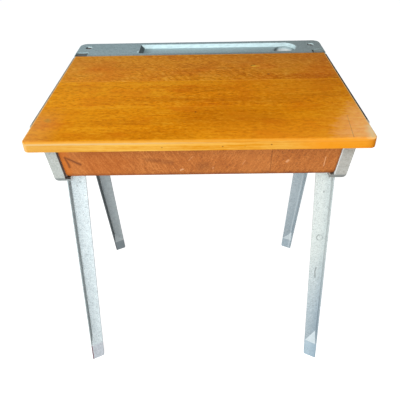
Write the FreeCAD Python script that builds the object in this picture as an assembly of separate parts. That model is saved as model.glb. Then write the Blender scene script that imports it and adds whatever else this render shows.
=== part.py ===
import FreeCAD, Part
import math
import os
from FreeCAD import Vector

# School desk with a lift lid: two cast side frames, a cast pen rail, a plywood book box and a beech lid.
# Millimetres. X runs across the desk, Y from the sitter to the rear, Z up from the floor.
# The origin is on the floor, under the middle of the desk.

# Lid
DESK_HEIGHT = 670.0
LID_WIDTH = 610.0
LID_DEPTH = 402.0
LID_THICK = 20.0
LID_FRONT_BOARD = 125.0
LID_REAR_BOARD = 155.0
LID_CORNER_R = 11.0
LID_EDGE_R = 3.0
LID_SEAT_GAP = 0.3

# Pen rail
RAIL_DEPTH = 85.5
RAIL_LID_GAP = 2.5
RAIL_END_INSET = 0.8
RAIL_CORNER_R = 18.0
RAIL_EDGE_R = 2.0
RAIL_SKIN = 4.5
RAIL_WALL = 5.0
RAIL_END_BLOCK = 45.0
TROUGH_DEPTH = 10.0
TROUGH_WALL = 3.5
TROUGH_LEFT_GAP = 157.5
TROUGH_RIGHT_GAP = 65.0
TROUGH_FRONT_LIP = 11.0
TROUGH_REAR_LIP = 14.5
TROUGH_FRONT_SLOPE = 3.0
TROUGH_REAR_SLOPE = 2.0
TROUGH_LEFT_SLOPE = 9.0
INKWELL_R = 23.0
INKWELL_COLLAR_WALL = 3.5
INKWELL_COLLAR_DROP = 4.0

# Side frame, box wall
RIM_GAP = 1.3
RIM_THICK = 3.0
RIM_DROP = 3.0
RIM_END_GAP = 1.0
RIM_EDGE_R = 1.0
LEDGE_THICK = 4.0
LEDGE_OVERHANG = 9.8
WALL_THICK = 4.0
BOX_HEIGHT = 107.2
WALL_FRONT_SETBACK = 62.0
WALL_REAR_SETBACK = 1.5
WALL_CORNER_R = 9.0
EAR_THICK = 4.0
EAR_WIDTH = 24.0
EAR_CORNER_R = 8.0
LIP_THICK = 8.5
LIP_WIDTH = 32.5
CHANNEL_LIP_THICK = 4.0
CHANNEL_LIP_R = 2.0
RAIL_PAD_THICK = 7.0
RAIL_PAD_MARGIN = 15.0

# Side frame, legs
LEG_INSET = 19.0
LEG_PLATE = 3.0
LEG_RIB = 5.0
LEG_TOP_WIDTH = 36.0
LEG_FOOT_WIDTH = 28.0
LEG_RIB_TOP = 34.7
LEG_RIB_FOOT = 23.5
FRONT_LEG_TOP_Y = -116.5
FRONT_LEG_FOOT_Y = -226.0
REAR_LEG_TOP_Y = 43.5
REAR_LEG_FOOT_Y = 161.0
LEG_ARCH_DROP = 14.0
LEG_ARCH_R = 45.0
FOOT_APEX = 75.0
FOOT_INNER_RISE = 45.0
FOOT_OUTER_RISE = 46.0

# Book box panels
PANEL_THICK = 9.0
PANEL_FIT = 0.3
PANEL_TOP_GAP = 2.0
PANEL_LAP = 4.0
PANEL_CORNER_R = 14.0
BOTTOM_THICK = 6.0
BOTTOM_SIDE_GAP = 9.0

# Hinges
PIN_R = 2.5
PIN_FIT = 0.05
PIN_DROP = 6.0
PIN_SETBACK = 14.5
PIN_SEAT = 8.0
KNUCKLE_R = 5.5
NOTCH_WIDTH = 28.5
NOTCH_DEPTH = 22.0
NOTCH_CHEEK = 3.0
STRAP_SIDE_GAP = 1.5
STRAP_LENGTH = 120.0
STRAP_THICK = 4.0
STRAP_ARM_GAP = 1.5
STRAP_LID_MARGIN = 6.0
STRAP_CORNER_R = 8.0

# Lid cleats
CLEAT_WIDTH = 30.0
CLEAT_HEIGHT = 22.0
CLEAT_END_GAP = 69.0
CLEAT_FRONT_GAP = 92.0
CLEAT_REAR_GAP = 40.0
CLEAT_CHAMFER = 12.0

# Fasteners
BOLT_R = 4.0
BOLT_HEAD_R = 8.4
BOLT_HEAD_SINK = 3.0
BOLT_SLOT_TURN = 35.0
BOLT_END_GAP = 26.0
BOLT_REAR_GAP = 30.5
BOLT_TAIL = 2.5
NUT_ACROSS_FLATS = 13.0
NUT_THICK = 6.5
SLOT_WIDTH = 2.0
SLOT_DEPTH = 1.8
SCREW_R = 2.0
SCREW_HEAD_R = 3.9
SCREW_HEAD_HEIGHT = 1.9
SCREW_FIT = 0.05
SCREW_SIDES = 10
STRAP_SCREW_BITE = 10.0
CLEAT_SCREW_BITE = 12.0
BOTTOM_SCREW_BITE = 5.0
STRAP_SCREWS = 3
STRAP_SCREW_MARGIN = 14.0
BOTTOM_SCREW_END_GAP = 34.0
BOTTOM_SCREW_EDGE = 11.0

# Share of an arris radius that a fillet takes, and how far a cutter runs past a face
ARRIS_SHARE = 0.9
CUT_OVER = 1.0

# Levels and lines that the sizes above fix
DEPTH = LID_DEPTH + RAIL_LID_GAP + RAIL_DEPTH
Y_LID_FRONT = -DEPTH / 2
Y_LID_REAR = Y_LID_FRONT + LID_DEPTH
Y_RAIL_FRONT = Y_LID_REAR + RAIL_LID_GAP
Y_RAIL_REAR = DEPTH / 2
Y_WALL_FRONT = Y_LID_FRONT + WALL_FRONT_SETBACK
Y_WALL_REAR = Y_RAIL_REAR - WALL_REAR_SETBACK
Z_TOP_EDGES = DESK_HEIGHT - 0.01
Z_LID_UNDER = DESK_HEIGHT - LID_THICK
Z_LEDGE = Z_LID_UNDER - LID_SEAT_GAP
Z_LIP = Z_LEDGE - BOX_HEIGHT
Z_FLOOR = Z_LIP + LIP_THICK
X_LID = LID_WIDTH / 2
X_RIM_IN = X_LID + RIM_GAP
X_RIM_OUT = X_RIM_IN + RIM_THICK
X_RAIL = X_RIM_OUT - RAIL_END_INSET
X_WALL_TOP = X_RIM_OUT - LEDGE_OVERHANG
X_WALL_FOOT = X_LID - LEG_INSET
X_LIP_IN = X_WALL_FOOT - LIP_WIDTH
X_NOTCH_OUT = X_RAIL - NOTCH_CHEEK
X_NOTCH_IN = X_NOTCH_OUT - NOTCH_WIDTH
Y_PIN = Y_RAIL_FRONT + PIN_SETBACK
Z_PIN = DESK_HEIGHT - PIN_DROP
X_CLEAT = X_LID - CLEAT_END_GAP
X_BOLT = X_RAIL - BOLT_END_GAP
X_TROUGH_LEFT = TROUGH_LEFT_GAP - X_RAIL
X_TROUGH_RIGHT = X_RAIL - TROUGH_RIGHT_GAP
X_STRAP_IN = X_NOTCH_IN + STRAP_SIDE_GAP
X_STRAP_OUT = X_LID - STRAP_LID_MARGIN
Y_BOLT = Y_RAIL_REAR - BOLT_REAR_GAP
Z_BOLT_TAIL = Z_LEDGE - RAIL_PAD_THICK - NUT_THICK - BOLT_TAIL
Y_FRONT_PANEL = Y_WALL_FRONT + EAR_THICK
Y_BACK_PANEL = Y_WALL_REAR - EAR_THICK - PANEL_THICK
WALL_LEAN = (X_WALL_TOP - X_WALL_FOOT) / (Z_LEDGE - Z_LIP)


def wall_x(z):
    """Outer face of the leaning box wall at height z."""
    return X_WALL_FOOT + WALL_LEAN * (z - Z_LIP)


def rounded_face(points, radii):
    """Flat face on an outline whose corners are rounded by radii, 0 for a sharp one."""
    count = len(points)
    starts = []
    ends = []
    mids = []
    for i, corner in enumerate(points):
        to_last = (points[i - 1] - corner).normalize()
        to_next = (points[(i + 1) % count] - corner).normalize()
        radius = radii[i]
        half = to_last.getAngle(to_next) / 2
        reach = radius / math.tan(half)
        starts.append(corner + to_last * reach)
        ends.append(corner + to_next * reach)
        bisector = (to_last + to_next).normalize()
        mids.append(corner + bisector * (radius / math.sin(half) - radius))
    edges = []
    for i in range(count):
        if radii[i] > 0:
            edges.append(Part.Arc(starts[i], mids[i], ends[i]).toShape())
        after = (i + 1) % count
        if (starts[after] - ends[i]).Length > 1e-6:
            edges.append(Part.LineSegment(ends[i], starts[after]).toShape())
    return Part.Face(Part.Wire(edges))


def prism_x(outline, x_low, x_high, radii=None):
    """Prism along X on an outline of (y, z) points."""
    points = [Vector(x_low, y, z) for y, z in outline]
    return rounded_face(points, radii or [0] * len(points)).extrude(Vector(x_high - x_low, 0, 0))


def prism_y(outline, y_low, y_high, radii=None):
    """Prism along Y on an outline of (x, z) points."""
    points = [Vector(x, y_low, z) for x, z in outline]
    return rounded_face(points, radii or [0] * len(points)).extrude(Vector(0, y_high - y_low, 0))


def prism_z(outline, z_low, z_high, radii=None):
    """Prism along Z on an outline of (x, y) points."""
    points = [Vector(x, y, z_low) for x, y in outline]
    return rounded_face(points, radii or [0] * len(points)).extrude(Vector(0, 0, z_high - z_low))


def block(x_low, x_high, y_low, y_high, z_low, z_high):
    """Box between two corners."""
    return Part.makeBox(x_high - x_low, y_high - y_low, z_high - z_low, Vector(x_low, y_low, z_low))


def ruled(low_points, high_points):
    """Solid of straight sides between two flat outlines."""
    wires = [Part.makePolygon(points + points[:1]) for points in (low_points, high_points)]
    return Part.makeLoft(wires, True, True)


def mirrored(shape):
    """The same shape on the other side of the desk."""
    return shape.mirror(Vector(0, 0, 0), Vector(1, 0, 0))


def rod(x, y, z_low, z_high, radius):
    """Upright cylinder."""
    return Part.makeCylinder(radius, z_high - z_low, Vector(x, y, z_low))


def round_edges(shape, radius, wanted):
    """Shape with the edges that the test picks rounded."""
    return shape.makeFillet(radius, [edge for edge in shape.Edges if wanted(edge)])


# Fasteners

def screw_ring(x, y, z, radius):
    """Corners of a screw's many-sided section."""
    turns = [2 * math.pi * i / SCREW_SIDES for i in range(SCREW_SIDES)]
    return [Vector(x + radius * math.cos(turn), y + radius * math.sin(turn), z) for turn in turns]


def wood_screw(x, y, z_head, bite, grow=0.0):
    """Countersunk screw driven upwards, its head flush at z_head and its tip bite above that."""
    z_neck = z_head + SCREW_HEAD_HEIGHT
    neck = screw_ring(x, y, z_neck, SCREW_R + grow)
    head = ruled(screw_ring(x, y, z_head, SCREW_HEAD_R + grow), neck)
    shank = ruled(neck, screw_ring(x, y, z_head + bite, SCREW_R + grow))
    screw = head.fuse(shank)
    if grow:
        return screw
    return screw.cut(block(x - SCREW_HEAD_R, x + SCREW_HEAD_R, y - SLOT_WIDTH / 4, y + SLOT_WIDTH / 4,
                           z_head, z_head + SCREW_HEAD_HEIGHT / 2))


def strap_screw_places():
    """Points on one strap, evenly spaced along its leaf."""
    first = Y_LID_REAR - STRAP_LENGTH + STRAP_SCREW_MARGIN
    last = Y_LID_REAR - STRAP_SCREW_MARGIN
    middle = (X_STRAP_IN + X_STRAP_OUT) / 2
    step = (last - first) / (STRAP_SCREWS - 1)
    return [(middle, first + step * i) for i in range(STRAP_SCREWS)]


def cleat_span():
    """Front and rear ends of a cleat."""
    return Y_LID_FRONT + CLEAT_FRONT_GAP, Y_LID_REAR - CLEAT_REAR_GAP


def board_lines():
    """Front edges of the lid's boards, and the lid's rear edge."""
    return [Y_LID_FRONT, Y_LID_FRONT + LID_FRONT_BOARD, Y_LID_REAR - LID_REAR_BOARD, Y_LID_REAR]


def cleat_screw_places():
    """One point per board, midway along the stretch that the cleat covers."""
    front, rear = cleat_span()
    lines = board_lines()
    spans = [(max(front, low), min(rear, high)) for low, high in zip(lines, lines[1:])]
    return [(X_CLEAT, (low + high) / 2) for low, high in spans]


def bottom_screw_places():
    """Points along one bottom lip, clear of the leg ribs."""
    front = Y_FRONT_PANEL + PANEL_THICK + BOTTOM_SCREW_END_GAP
    rear = Y_BACK_PANEL - BOTTOM_SCREW_END_GAP
    x = X_LIP_IN + BOTTOM_SCREW_EDGE
    return [(x, y) for y in (front, (front + rear) / 2, rear)]


def screws_on_both_sides(places, z_head, bite):
    """Group of separate screws at the places and at their mirror images."""
    screws = []
    for x, y in places:
        for side in (-1, 1):
            screws.append(wood_screw(side * x, y, z_head, bite))
    return Part.makeCompound(screws)


def cut_screws(shape, places, z_head, bite):
    """Shape with clearance holes for screws at the places."""
    for x, y in places:
        shape = shape.cut(wood_screw(x, y, z_head, bite, SCREW_FIT))
    return shape


Z_STRAP_SCREW = Z_LID_UNDER
Z_CLEAT_SCREW = Z_LID_UNDER - CLEAT_HEIGHT
Z_BOTTOM_SCREW = Z_LIP
STRAP_SCREW_LENGTH = STRAP_THICK + STRAP_SCREW_BITE
CLEAT_SCREW_LENGTH = CLEAT_HEIGHT + CLEAT_SCREW_BITE
BOTTOM_SCREW_LENGTH = LIP_THICK + BOTTOM_SCREW_BITE


def bolt_solid(side, grow=0.0):
    """Countersunk bolt through the rail's end block and the frame's pad."""
    x = side * X_BOLT
    z_head = DESK_HEIGHT - BOLT_HEAD_SINK
    cone_height = BOLT_HEAD_R - BOLT_R
    z_neck = z_head - cone_height
    head = Part.makeCone(BOLT_R + grow, BOLT_HEAD_R + grow, cone_height, Vector(x, Y_BOLT, z_neck))
    shank = rod(x, Y_BOLT, Z_BOLT_TAIL, z_neck, BOLT_R + grow)
    bolt = head.fuse(shank).removeSplitter()
    if grow:
        return bolt.fuse(rod(x, Y_BOLT, z_head, DESK_HEIGHT + CUT_OVER, BOLT_HEAD_R + grow))
    slot = block(-BOLT_HEAD_R, BOLT_HEAD_R, -SLOT_WIDTH / 2, SLOT_WIDTH / 2, -SLOT_DEPTH, CUT_OVER)
    slot.rotate(Vector(0, 0, 0), Vector(0, 0, 1), BOLT_SLOT_TURN)
    slot.translate(Vector(x, Y_BOLT, z_head))
    return bolt.cut(slot)


def nut_solid(side):
    """Hexagon nut under the frame's pad."""
    x = side * X_BOLT
    corner = NUT_ACROSS_FLATS / math.sqrt(3)
    turns = [math.radians(60 * i) for i in range(6)]
    outline = [(x + corner * math.cos(turn), Y_BOLT + corner * math.sin(turn)) for turn in turns]
    top = Z_LEDGE - RAIL_PAD_THICK
    nut = prism_z(outline, top - NUT_THICK, top)
    return nut.cut(rod(x, Y_BOLT, top - NUT_THICK - CUT_OVER, top + CUT_OVER, BOLT_R + SCREW_FIT))


# Side frame

def wall_and_rim():
    """Leaning box wall with its lid ledge, the rim beside the lid and the lip under the box."""
    z_ledge_under = Z_LEDGE - LEDGE_THICK
    outline = [
        (X_RIM_IN, Z_LEDGE),
        (X_RIM_IN, DESK_HEIGHT - RIM_DROP),
        (X_RIM_OUT, DESK_HEIGHT - RIM_DROP),
        (X_RIM_OUT, z_ledge_under),
        (wall_x(z_ledge_under), z_ledge_under),
        (X_WALL_FOOT, Z_LIP),
        (X_LIP_IN, Z_LIP),
        (X_LIP_IN, Z_FLOOR),
        (wall_x(Z_FLOOR) - WALL_THICK, Z_FLOOR),
        (X_WALL_TOP - WALL_THICK, Z_LEDGE),
    ]
    inner_r = WALL_CORNER_R - WALL_THICK
    radii = [0, RIM_EDGE_R, RIM_EDGE_R, LEDGE_THICK / 2, LEDGE_THICK / 2, WALL_CORNER_R, 0, 0, inner_r, 0]
    wall = prism_y(outline, Y_WALL_FRONT, Y_WALL_REAR, radii)
    rail_seat = block(X_RIM_IN - RIM_GAP, X_RIM_OUT + CUT_OVER, Y_LID_REAR - RIM_END_GAP,
                      Y_WALL_REAR + CUT_OVER, Z_LEDGE, DESK_HEIGHT)
    return wall.cut(rail_seat)


def ear(y_low):
    """Lip that returns inwards across an end of the wall and turns along the box's floor."""
    outline = [
        (X_WALL_TOP, Z_LEDGE),
        (X_WALL_FOOT, Z_LIP),
        (X_LIP_IN, Z_LIP),
        (X_LIP_IN, Z_FLOOR),
        (wall_x(Z_FLOOR) - EAR_WIDTH, Z_FLOOR),
        (X_WALL_TOP - EAR_WIDTH, Z_LEDGE),
    ]
    return prism_y(outline, y_low, y_low + EAR_THICK, [0, WALL_CORNER_R, 0, 0, EAR_CORNER_R, 0])


def channel_lip(y_low, z_high):
    """Rib on the wall's inner face, as wide as the ear and up to z_high, that closes a panel's channel."""
    z_low = Z_FLOOR + BOTTOM_THICK + PANEL_FIT
    half_wall = WALL_THICK / 2
    outline = [
        (wall_x(z_low) - EAR_WIDTH, z_low),
        (wall_x(z_low) - half_wall, z_low),
        (wall_x(z_high) - half_wall, z_high),
        (wall_x(z_high) - EAR_WIDTH, z_high),
    ]
    return prism_y(outline, y_low, y_low + CHANNEL_LIP_THICK, [CHANNEL_LIP_R, 0, 0, CHANNEL_LIP_R])


def rail_pad():
    """Flat pad in the rear corner that the rail is bolted down on."""
    x_low = X_BOLT - RAIL_PAD_MARGIN
    x_high = wall_x(Z_LEDGE - RAIL_PAD_THICK) - WALL_THICK / 2
    y_low = Y_BOLT - RAIL_PAD_MARGIN
    outline = [(x_low, y_low), (x_high, y_low), (x_high, Y_WALL_REAR), (x_low, Y_WALL_REAR)]
    return prism_z(outline, Z_LEDGE - RAIL_PAD_THICK, Z_LEDGE, [RAIL_PAD_MARGIN / 2, 0, 0, 0])


def leg_y(top_y, foot_y, z):
    """Front edge of a raked leg at height z."""
    return foot_y + (top_y - foot_y) * z / Z_LIP


def leg_width(z):
    """Width of a tapered leg plate at height z."""
    return LEG_FOOT_WIDTH + (LEG_TOP_WIDTH - LEG_FOOT_WIDTH) * z / Z_LIP


def rib_reach(z):
    """How far a leg's rib stands in from the leg plate at height z."""
    return LEG_RIB_FOOT + (LEG_RIB_TOP - LEG_RIB_FOOT) * z / Z_LIP


def leg_plates():
    """Outer plate of both legs, joined by an arch under the box."""
    z_top = Z_LIP + WALL_CORNER_R
    z_arch = Z_LIP - LEG_ARCH_DROP
    front = [(leg_y(FRONT_LEG_TOP_Y, FRONT_LEG_FOOT_Y, z), z) for z in (z_top, 0.0)]
    rear = [(leg_y(REAR_LEG_TOP_Y, REAR_LEG_FOOT_Y, z) + leg_width(z), z) for z in (0.0, z_top)]
    inner_front = [(leg_y(FRONT_LEG_TOP_Y, FRONT_LEG_FOOT_Y, z) + leg_width(z), z) for z in (0.0, z_arch)]
    inner_rear = [(leg_y(REAR_LEG_TOP_Y, REAR_LEG_FOOT_Y, z), z) for z in (z_arch, 0.0)]
    outline = front + inner_front + inner_rear + rear
    radii = [0, 0, 0, LEG_ARCH_R, LEG_ARCH_R, 0, 0, 0]
    return prism_x(outline, X_WALL_FOOT - LEG_PLATE, X_WALL_FOOT, radii)


def rib_section(top_y, foot_y, z):
    """Corners of a leg's rib at height z, from the leg plate's middle inwards."""
    x_out = X_WALL_FOOT - LEG_PLATE / 2
    x_in = X_WALL_FOOT - LEG_PLATE - rib_reach(z)
    y_mid = leg_y(top_y, foot_y, z) + leg_width(z) / 2
    y_low = y_mid - LEG_RIB / 2
    y_high = y_mid + LEG_RIB / 2
    corners = ((x_out, y_low), (x_out, y_high), (x_in, y_high), (x_in, y_low))
    return [Vector(x, y, z) for x, y in corners]


def foot_section(top_y, foot_y, z):
    """Corners of the solid foot at height z: the plate's edges drawn in to the rib's tip."""
    x_plate = X_WALL_FOOT - LEG_PLATE
    x_tip = x_plate - rib_reach(z)
    y_low = leg_y(top_y, foot_y, z)
    y_high = y_low + leg_width(z)
    y_mid = (y_low + y_high) / 2
    return [
        Vector(X_WALL_FOOT, y_low, z),
        Vector(X_WALL_FOOT, y_high, z),
        Vector(x_plate, y_high, z),
        Vector(x_tip, y_mid + LEG_RIB / 2, z),
        Vector(x_tip, y_mid - LEG_RIB / 2, z),
        Vector(x_plate, y_low, z),
    ]


def facet_cutter(apex, inner, outer):
    """Slab that lies on the plane through three points, on its upper side."""
    size = 4 * FOOT_APEX
    normal = (inner - apex).cross(outer - apex).normalize()
    if normal.z < 0:
        normal = -normal
    along = (inner - outer).normalize()
    across = normal.cross(along)
    centre = (apex + inner + outer) / 3
    turns = ((-size, -size), (size, -size), (size, size), (-size, size))
    corners = [centre + along * a + across * b for a, b in turns]
    return rounded_face(corners, [0] * len(corners)).extrude(normal * size)


def foot(top_y, foot_y):
    """Solid foot that fills both corners of the leg's section, under a sloping facet on each side."""
    solid = ruled(foot_section(top_y, foot_y, 0.0), foot_section(top_y, foot_y, FOOT_APEX))
    x_plate = X_WALL_FOOT - LEG_PLATE
    for side in (-1, 1):
        def y_at(z, offset):
            return leg_y(top_y, foot_y, z) + leg_width(z) / 2 + side * offset(z)
        apex = Vector(x_plate, y_at(FOOT_APEX, lambda z: LEG_RIB / 2), FOOT_APEX)
        inner = Vector(x_plate - rib_reach(FOOT_INNER_RISE), y_at(FOOT_INNER_RISE, lambda z: LEG_RIB / 2),
                       FOOT_INNER_RISE)
        outer = Vector(x_plate, y_at(FOOT_OUTER_RISE, lambda z: leg_width(z) / 2), FOOT_OUTER_RISE)
        solid = solid.cut(facet_cutter(apex, inner, outer))
    return solid


def side_frame():
    """One casting: box wall, ears, lips, rail pad and the two raked legs. Right-hand side."""
    pieces = [
        ear(Y_WALL_FRONT),
        ear(Y_WALL_REAR - EAR_THICK),
        channel_lip(Y_FRONT_PANEL + PANEL_THICK + PANEL_FIT, Z_LEDGE - LEDGE_THICK),
        channel_lip(Y_BACK_PANEL - PANEL_FIT - CHANNEL_LIP_THICK, Z_BOLT_TAIL - PANEL_FIT),
        rail_pad(),
        leg_plates(),
    ]
    for top_y, foot_y in ((FRONT_LEG_TOP_Y, FRONT_LEG_FOOT_Y), (REAR_LEG_TOP_Y, REAR_LEG_FOOT_Y)):
        pieces.append(ruled(rib_section(top_y, foot_y, 0.0), rib_section(top_y, foot_y, Z_FLOOR)))
        pieces.append(foot(top_y, foot_y))
    frame = wall_and_rim().fuse(pieces).removeSplitter()
    frame = frame.cut(rod(X_BOLT, Y_BOLT, Z_LEDGE - RAIL_PAD_THICK - CUT_OVER, Z_LEDGE + CUT_OVER,
                          BOLT_R + SCREW_FIT))
    return cut_screws(frame, bottom_screw_places(), Z_BOTTOM_SCREW, BOTTOM_SCREW_LENGTH)


# Pen rail

def trough_face(front_in, rear_in, left_in, z, grow=0.0):
    """Trough outline at height z: square at its left end, round at its right end."""
    y_front = Y_RAIL_FRONT + TROUGH_FRONT_LIP + front_in - grow
    y_rear = Y_RAIL_REAR - TROUGH_REAR_LIP - rear_in + grow
    radius = (y_rear - y_front) / 2
    x_left = X_TROUGH_LEFT + left_in - grow
    x_centre = trough_round_x()
    y_centre = (y_front + y_rear) / 2
    front_right = Vector(x_centre, y_front, z)
    rear_right = Vector(x_centre, y_rear, z)
    edges = [
        Part.LineSegment(Vector(x_left, y_front, z), front_right).toShape(),
        Part.Arc(front_right, Vector(x_centre + radius, y_centre, z), rear_right).toShape(),
        Part.LineSegment(rear_right, Vector(x_left, y_rear, z)).toShape(),
        Part.LineSegment(Vector(x_left, y_rear, z), Vector(x_left, y_front, z)).toShape(),
    ]
    return Part.Wire(edges)


def trough_round_x():
    """Centre of the trough's round end."""
    width = RAIL_DEPTH - TROUGH_FRONT_LIP - TROUGH_REAR_LIP
    return X_TROUGH_RIGHT - width / 2


def inkwell_y():
    """Centre line of the trough's floor, where the inkwell hole is."""
    front = Y_RAIL_FRONT + TROUGH_FRONT_LIP + TROUGH_FRONT_SLOPE
    rear = Y_RAIL_REAR - TROUGH_REAR_LIP - TROUGH_REAR_SLOPE
    return (front + rear) / 2


def back_rail():
    """Hollow cast rail with a pen trough, an inkwell hole, hinge notches and bolted ends."""
    outline = [(-X_RAIL, Y_RAIL_FRONT), (X_RAIL, Y_RAIL_FRONT), (X_RAIL, Y_RAIL_REAR), (-X_RAIL, Y_RAIL_REAR)]
    rail = prism_z(outline, Z_LEDGE, DESK_HEIGHT, [RAIL_EDGE_R, RAIL_EDGE_R, RAIL_CORNER_R, RAIL_CORNER_R])
    rail = round_edges(rail, RAIL_EDGE_R * ARRIS_SHARE, lambda edge: edge.BoundBox.ZMin > Z_TOP_EDGES)
    z_trough = DESK_HEIGHT - TROUGH_DEPTH
    x_hollow = X_RAIL - RAIL_END_BLOCK
    rail = rail.cut(block(-x_hollow, x_hollow, Y_RAIL_FRONT + RAIL_WALL, Y_RAIL_REAR - RAIL_WALL,
                          Z_LEDGE - CUT_OVER, DESK_HEIGHT - RAIL_SKIN))
    tub = Part.Face(trough_face(0, 0, 0, z_trough - TROUGH_WALL, TROUGH_WALL))
    rail = rail.fuse(tub.extrude(Vector(0, 0, TROUGH_DEPTH + TROUGH_WALL - RAIL_SKIN / 2)))
    x_ink = trough_round_x()
    z_collar = Z_LEDGE - INKWELL_COLLAR_DROP
    rail = rail.fuse(rod(x_ink, inkwell_y(), z_collar, z_trough, INKWELL_R + INKWELL_COLLAR_WALL))
    floor = trough_face(TROUGH_FRONT_SLOPE, TROUGH_REAR_SLOPE, TROUGH_LEFT_SLOPE, z_trough)
    mouth = trough_face(0, 0, 0, DESK_HEIGHT)
    pocket = Part.makeLoft([floor, mouth], True, True)
    rail = rail.cut(pocket.fuse(Part.Face(mouth).extrude(Vector(0, 0, CUT_OVER))))
    rail = rail.cut(rod(x_ink, inkwell_y(), z_collar - CUT_OVER, z_trough + CUT_OVER, INKWELL_R))
    for side in (-1, 1):
        x_ends = sorted((side * X_NOTCH_IN, side * X_NOTCH_OUT))
        rail = rail.cut(block(x_ends[0], x_ends[1], Y_RAIL_FRONT - CUT_OVER, Y_RAIL_FRONT + NOTCH_DEPTH,
                              Z_LEDGE - CUT_OVER, DESK_HEIGHT + CUT_OVER))
        rail = rail.cut(pin_solid(side, PIN_FIT, CUT_OVER))
        rail = rail.cut(bolt_solid(side, SCREW_FIT))
    return rail.removeSplitter()


# Hinges

def x_rod(x_low, x_high, radius):
    """Cylinder on the hinge axis of the right-hand side."""
    return Part.makeCylinder(radius, x_high - x_low, Vector(x_low, Y_PIN, Z_PIN), Vector(1, 0, 0))


def pin_solid(side, grow=0.0, beyond=0.0):
    """Hinge pin across a notch, from the rail's end block to its outer cheek."""
    pin = x_rod(X_NOTCH_IN - PIN_SEAT - grow, X_RAIL + beyond, PIN_R + grow)
    return pin if side > 0 else mirrored(pin)


def hinge_strap():
    """Steel strap let into the lid, with an arm up to its knuckle on the pin. Right-hand side."""
    x_ends = (X_STRAP_IN, X_STRAP_OUT)
    x_knuckle = X_NOTCH_OUT - STRAP_SIDE_GAP
    z_top = Z_LID_UNDER + STRAP_THICK
    y_ends = (Y_LID_REAR - STRAP_LENGTH, Y_LID_REAR)
    outline = [(x_ends[0], y_ends[0]), (x_ends[1], y_ends[0]), (x_ends[1], y_ends[1]), (x_ends[0], y_ends[1])]
    leaf = prism_z(outline, Z_LID_UNDER, z_top, [STRAP_CORNER_R, STRAP_CORNER_R, 0, 0])
    arm = prism_x([
        (Y_LID_REAR - STRAP_THICK, Z_LID_UNDER),
        (Y_PIN, Z_LID_UNDER),
        (Y_PIN + KNUCKLE_R, Z_PIN),
        (Y_PIN - KNUCKLE_R, Z_PIN),
        (Y_LID_REAR + STRAP_ARM_GAP, z_top),
        (Y_LID_REAR - STRAP_THICK, z_top),
    ], x_ends[0], x_ends[1])
    knuckle = x_rod(X_STRAP_IN, x_knuckle, KNUCKLE_R)
    strap = leaf.fuse([arm, knuckle]).removeSplitter()
    strap = strap.cut(x_rod(X_STRAP_IN - CUT_OVER, x_knuckle + CUT_OVER, PIN_R + PIN_FIT))
    return cut_screws(strap, strap_screw_places(), Z_STRAP_SCREW, STRAP_SCREW_LENGTH)


# Lid

def lid_cleat():
    """Batten across the boards under the lid, bevelled at both ends. Right-hand side."""
    front, rear = cleat_span()
    z_low = Z_LID_UNDER - CLEAT_HEIGHT
    outline = [
        (front, Z_LID_UNDER),
        (front, Z_LID_UNDER - CLEAT_HEIGHT + CLEAT_CHAMFER),
        (front + CLEAT_CHAMFER, z_low),
        (rear - CLEAT_CHAMFER, z_low),
        (rear, Z_LID_UNDER - CLEAT_HEIGHT + CLEAT_CHAMFER),
        (rear, Z_LID_UNDER),
    ]
    cleat = prism_x(outline, X_CLEAT - CLEAT_WIDTH / 2, X_CLEAT + CLEAT_WIDTH / 2)
    return cut_screws(cleat, cleat_screw_places(), Z_CLEAT_SCREW, CLEAT_SCREW_LENGTH)


def lid_slab():
    """Whole lid with rounded corners and arrises, and recesses for the straps and their screws."""
    outline = [(-X_LID, Y_LID_FRONT), (X_LID, Y_LID_FRONT), (X_LID, Y_LID_REAR), (-X_LID, Y_LID_REAR)]
    slab = prism_z(outline, Z_LID_UNDER, DESK_HEIGHT, [LID_CORNER_R, LID_CORNER_R, LID_EDGE_R, LID_EDGE_R])
    slab = round_edges(slab, LID_EDGE_R * ARRIS_SHARE, lambda edge: edge.BoundBox.ZMin > Z_TOP_EDGES)
    for side in (-1, 1):
        x_ends = sorted((side * (X_STRAP_IN - PANEL_FIT), side * (X_STRAP_OUT + PANEL_FIT)))
        y_front = Y_LID_REAR - STRAP_LENGTH - PANEL_FIT
        slab = slab.cut(block(x_ends[0], x_ends[1], y_front, Y_LID_REAR + CUT_OVER,
                              Z_LID_UNDER - CUT_OVER, Z_LID_UNDER + STRAP_THICK))
        strap_places = [(side * x, y) for x, y in strap_screw_places()]
        cleat_places = [(side * x, y) for x, y in cleat_screw_places()]
        slab = cut_screws(slab, strap_places, Z_STRAP_SCREW, STRAP_SCREW_LENGTH)
        slab = cut_screws(slab, cleat_places, Z_CLEAT_SCREW, CLEAT_SCREW_LENGTH)
    return slab


def lid_boards():
    """The lid cut into its three glued boards, front to rear."""
    slab = lid_slab()
    lines = board_lines()
    boards = []
    for low, high in zip(lines, lines[1:]):
        boards.append(slab.common(block(-X_LID, X_LID, low, high, Z_LID_UNDER, DESK_HEIGHT)))
    return dict(zip(("lid_board_front", "lid_board_middle", "lid_board_rear"), boards))


# Book box panels

def end_panel(y_low, z_top):
    """Upright plywood panel lapped behind the ears, its lower corners rounded."""
    lap = EAR_WIDTH - PANEL_LAP
    x_low = wall_x(Z_FLOOR) - lap
    x_high = wall_x(z_top) - lap
    outline = [(-x_low, Z_FLOOR), (x_low, Z_FLOOR), (x_high, z_top), (-x_high, z_top)]
    return prism_y(outline, y_low, y_low + PANEL_THICK, [PANEL_CORNER_R, PANEL_CORNER_R, 0, 0])


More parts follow.
